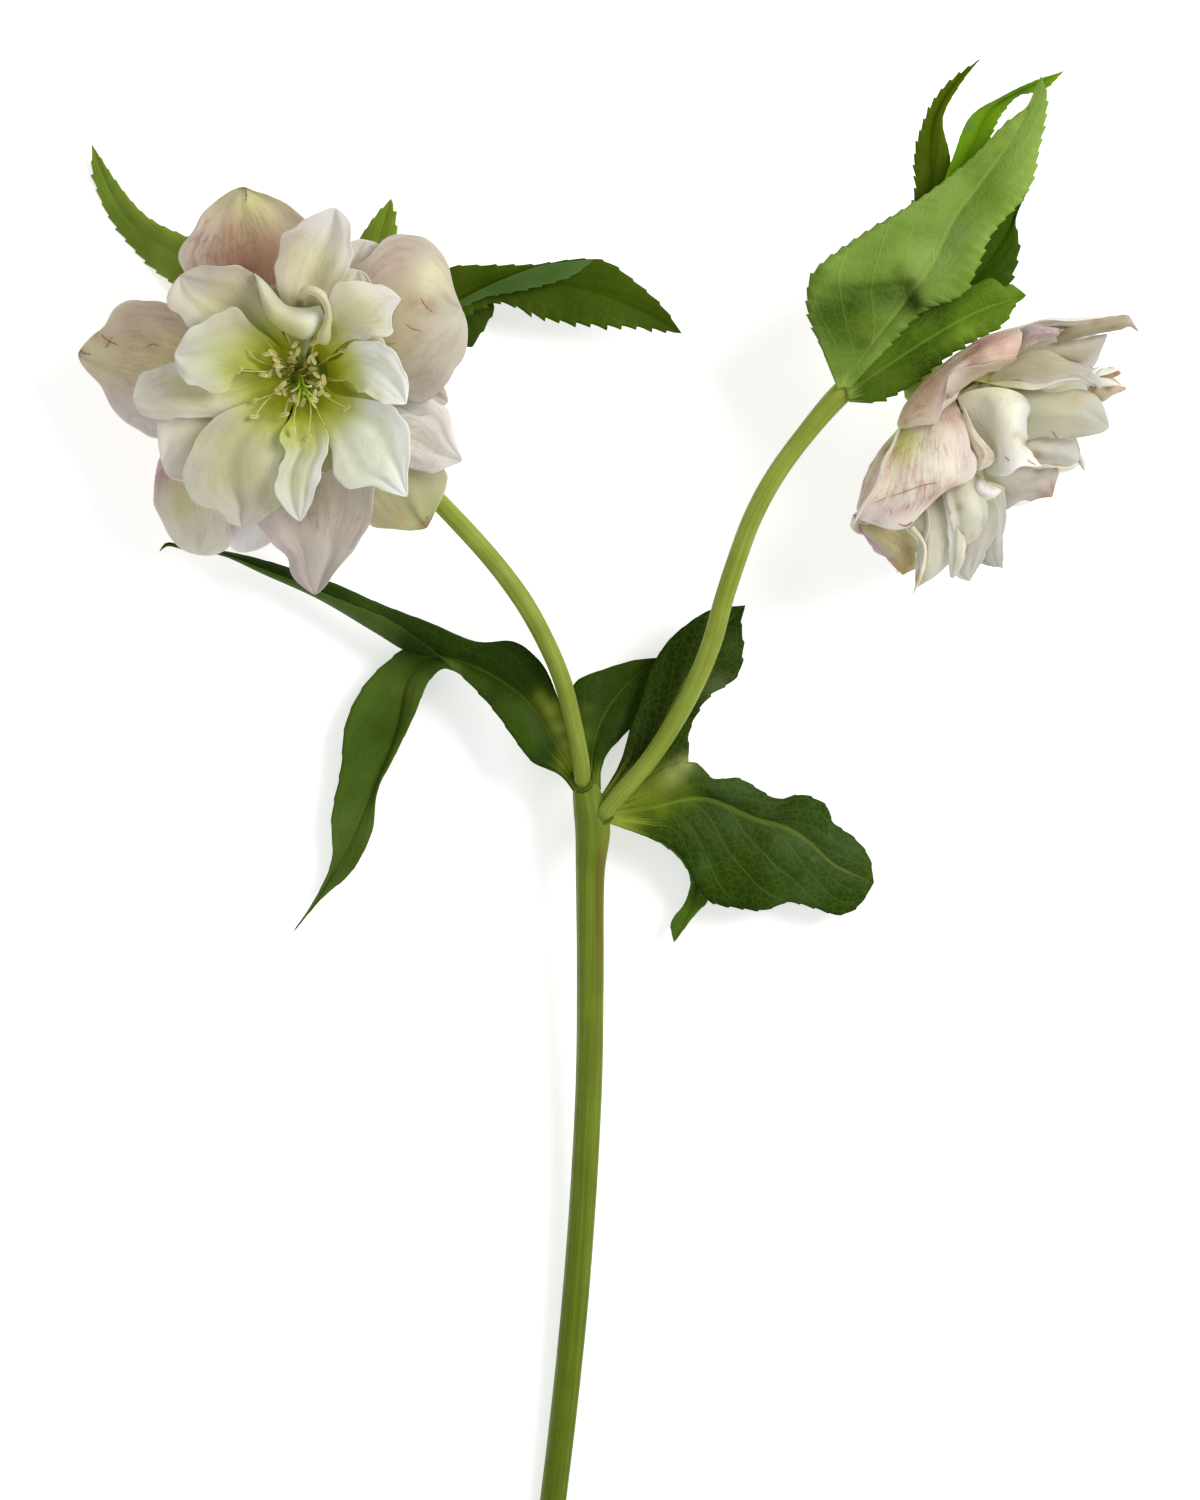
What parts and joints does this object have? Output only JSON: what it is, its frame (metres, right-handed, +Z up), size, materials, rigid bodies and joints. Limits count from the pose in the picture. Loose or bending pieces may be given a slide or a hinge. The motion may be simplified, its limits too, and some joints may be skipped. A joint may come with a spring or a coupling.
{
  "type": "hellebore flower",
  "caption": "Cut hellebore stem, forked, with double pale pink and white blooms and toothed green bracts, lying on a surface.",
  "frame": {"origin": "on the surface, under the middle of the part's box", "axes": "+Y from the cut stem end towards the blooms, +Z up from the surface it lies on, +X to the side of the right bloom"},
  "size_m": [0.2109, 0.3022, 0.0605],
  "materials": {
    "stem_green": "satin, faintly ribbed",
    "bract_dark_green": "satin leaf with pale veins",
    "bract_light_green": "satin leaf underside with raised veins",
    "sepal_rose": "soft matte, pink veined",
    "petal_white": "soft matte, green at the foot",
    "anther_yellow": "matte",
    "style_green": "satin"
  },
  "bodies": {
    "root": {"stem": "stem_green", "left_bloom_sepals": "sepal_rose", "left_bloom_petals": "petal_white", "left_bloom_stamens": "anther_yellow", "left_bloom_carpels": "style_green", "right_bloom_sepals": "sepal_rose", "right_bloom_petals": "petal_white", "right_bloom_stamens": "anther_yellow", "right_bloom_carpels": "style_green", "fork_bract_left": "bract_dark_green", "fork_bract_back": "bract_dark_green", "fork_bract_right": "bract_dark_green", "left_bloom_bract_1": "bract_dark_green", "left_bloom_bract_2": "bract_dark_green", "left_bloom_bract_3": "bract_dark_green", "right_bloom_bract_1": "bract_light_green", "right_bloom_bract_2": "bract_dark_green", "right_bloom_bract_3": "bract_dark_green", "right_bloom_bract_4": "bract_dark_green"}
  },
  "joints": []
}
